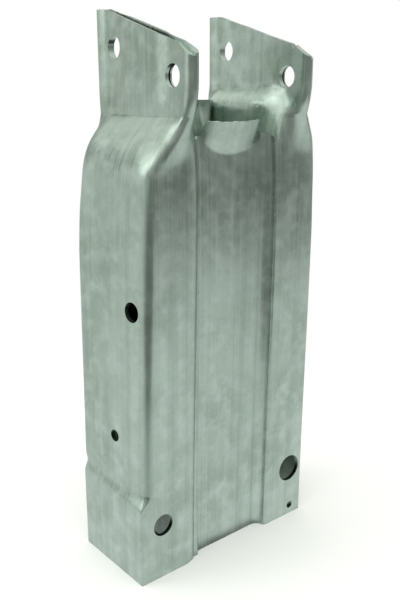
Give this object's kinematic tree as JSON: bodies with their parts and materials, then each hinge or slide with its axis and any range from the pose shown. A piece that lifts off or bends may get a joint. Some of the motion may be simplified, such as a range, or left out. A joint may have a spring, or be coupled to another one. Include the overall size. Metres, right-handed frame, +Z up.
{
  "type": "profile bracket",
  "caption": "Upright bracket of hollow metal profile with its outer chambers pressed flat into two bored lugs above a cut-back middle wall.",
  "frame": {"origin": "middle of the foot, on the plane it stands on", "axes": "+Z up along the profile, +X to the right across the front, +Y from the front wall to the back wall"},
  "size_m": [0.13, 0.083, 0.314],
  "materials": {
    "mill_aluminium": "mill finish with die lines and smudges"
  },
  "bodies": {
    "root": {"bracket_profile": "mill_aluminium"}
  },
  "joints": []
}
